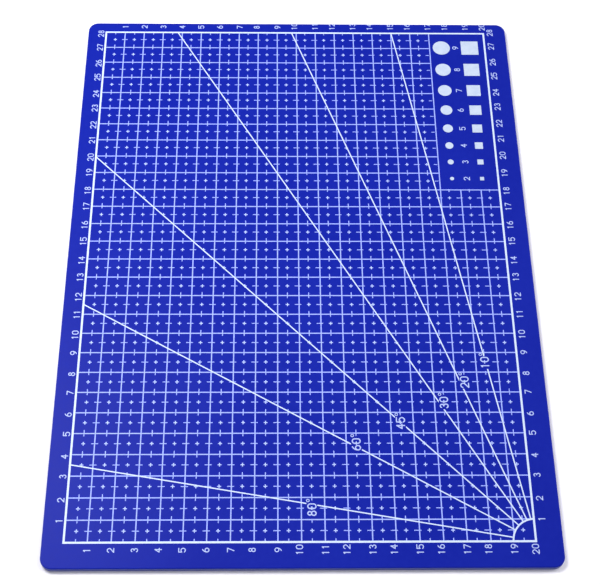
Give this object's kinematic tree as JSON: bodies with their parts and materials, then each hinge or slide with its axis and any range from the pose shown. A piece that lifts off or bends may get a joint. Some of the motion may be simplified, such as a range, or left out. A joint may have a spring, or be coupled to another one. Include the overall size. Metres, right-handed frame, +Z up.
{
  "type": "self healing cutting mat",
  "caption": "Flat blue vinyl cutting mat with rounded corners, bonded from three plies, and a white printed centimetre grid with edge scales, angle lines and a size gauge.",
  "frame": {"origin": "middle of the underside, on the surface the mat lies on", "axes": "+Z up through the thickness, +Y along the length towards the far edge, +X across the width towards the edge beside the protractor"},
  "size_m": [0.22, 0.298, 0.003],
  "materials": {
    "blue_vinyl": "blue self-healing vinyl skin with a fine matt grain",
    "core_vinyl": "pale vinyl core, seen only on the cut edge",
    "white_ink": "white screen ink, cured matt"
  },
  "bodies": {
    "root": {"bottom_skin": "blue_vinyl", "core_sheet": "core_vinyl", "top_skin": "blue_vinyl", "printed_frame": "white_ink", "centimetre_grid": "white_ink", "protractor_arc": "white_ink", "angle_lines": "white_ink", "angle_labels": "white_ink", "left_scale_numbers": "white_ink", "right_scale_numbers": "white_ink", "near_scale_numbers": "white_ink", "far_scale_numbers": "white_ink", "gauge_discs": "white_ink", "gauge_squares": "white_ink", "gauge_numbers": "white_ink"}
  },
  "joints": []
}
